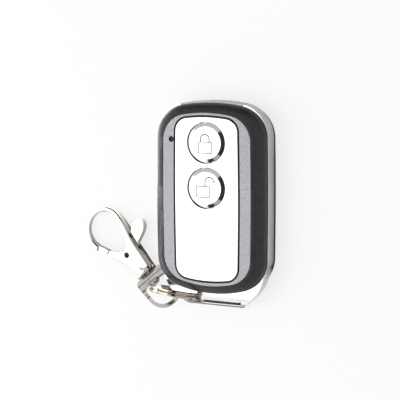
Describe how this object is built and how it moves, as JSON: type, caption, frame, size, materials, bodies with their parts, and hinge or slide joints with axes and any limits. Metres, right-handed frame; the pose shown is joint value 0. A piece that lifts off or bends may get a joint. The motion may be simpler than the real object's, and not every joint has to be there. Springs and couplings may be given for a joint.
{
  "type": "wireless remote control",
  "caption": "Key-fob wireless remote with lock and unlock buttons, bright metal band, split ring through a slotted foot, and a swivel lobster clasp with a sprung gate.",
  "frame": {"origin": "middle of the flat back of the remote, on the table it lies on", "axes": "+Z out of the front face with the buttons, +Y towards the end away from the split ring, +X to the right seen from the front"},
  "size_m": [0.0661, 0.0655, 0.0164],
  "materials": {
    "shell_plastic": "satin moulded",
    "chrome_band": "bright plated",
    "window_plastic": "satin grey metallic lacquer",
    "bezel_silver": "fine metallic silver",
    "panel_bright": "mirror bright",
    "button_bright": "mirror bright",
    "pad_rubber": "matte",
    "plunger_plastic": "matte",
    "switch_body": "matte",
    "board_laminate": "solder-mask green",
    "lamp_body": "cream",
    "lamp_lens": "smoke, near black",
    "chip_epoxy": "matte black",
    "resonator_can": "tinned",
    "battery_sleeve": "printed sleeve without text",
    "contact_strip": "nickelled spring strip",
    "screw_steel": "zinc plated",
    "ring_steel": "nickel plated, polished",
    "clasp_nickel": "nickel plated, polished",
    "rivet_black": "blackened",
    "spring_steel": "bare spring steel"
  },
  "bodies": {
    "fob": {"back_cover": "shell_plastic", "chrome_frame": "chrome_band", "antenna_window": "window_plastic", "front_shell": "shell_plastic", "front_bezel": "bezel_silver", "front_panel": "panel_bright", "lock_switch": "switch_body", "unlock_switch": "switch_body", "circuit_board": "board_laminate", "status_led": "lamp_body", "led_lens": "lamp_lens", "encoder_chip": "chip_epoxy", "saw_resonator": "resonator_can", "battery": "battery_sleeve", "positive_contact": "contact_strip", "negative_contact": "contact_strip", "case_screws": "screw_steel"},
    "lock_key": {"lock_button": "button_bright", "lock_pad": "pad_rubber", "lock_plunger": "plunger_plastic"},
    "unlock_key": {"unlock_button": "button_bright", "unlock_pad": "pad_rubber", "unlock_plunger": "plunger_plastic"},
    "split_ring_body": {"split_ring": "ring_steel"},
    "loop_body": {"swivel_loop": "clasp_nickel"},
    "claw": {"claw_body": "clasp_nickel", "swivel_pin": "clasp_nickel", "gate_rivet": "rivet_black", "gate_spring": "spring_steel"},
    "gate": {"gate_lever": "clasp_nickel"}
  },
  "joints": [
    {"name": "lock_press", "type": "slide", "parent": "fob", "child": "lock_key", "axis": [0, 0, -1], "range_m": [0, 0.0003], "stiffness_N_per_m": 150, "springref_m": -0.002},
    {"name": "unlock_press", "type": "slide", "parent": "fob", "child": "unlock_key", "axis": [0, 0, -1], "range_m": [0, 0.0003], "stiffness_N_per_m": 150, "springref_m": -0.002},
    {"name": "ring_swing", "type": "hinge", "parent": "fob", "child": "split_ring_body", "pos_m": [-0.0063, -0.0313, 0.0047], "axis": [0.9936, -0.1126, 0], "range_deg": [0, 16]},
    {"name": "clasp_slide", "type": "hinge", "parent": "split_ring_body", "child": "loop_body", "pos_m": [-0.01245, -0.02979, 0.00825], "axis": [0.1102, 0.9726, -0.2045], "range_deg": [0, 90]},
    {"name": "claw_swivel", "type": "hinge", "parent": "loop_body", "child": "claw", "pos_m": [-0.02438, -0.02588, 0.0037], "axis": [0.7431, -0.6644, 0.08], "continuous": true},
    {"name": "gate_open", "type": "hinge", "parent": "claw", "child": "gate", "pos_m": [-0.03115, -0.02029, 0.003], "axis": [0.0596, -0.0533, -0.9968], "range_deg": [0, 30], "stiffness_Nm_per_rad": 0.002, "springref_deg": -20.05, "deforming": ["gate_spring"]}
  ]
}
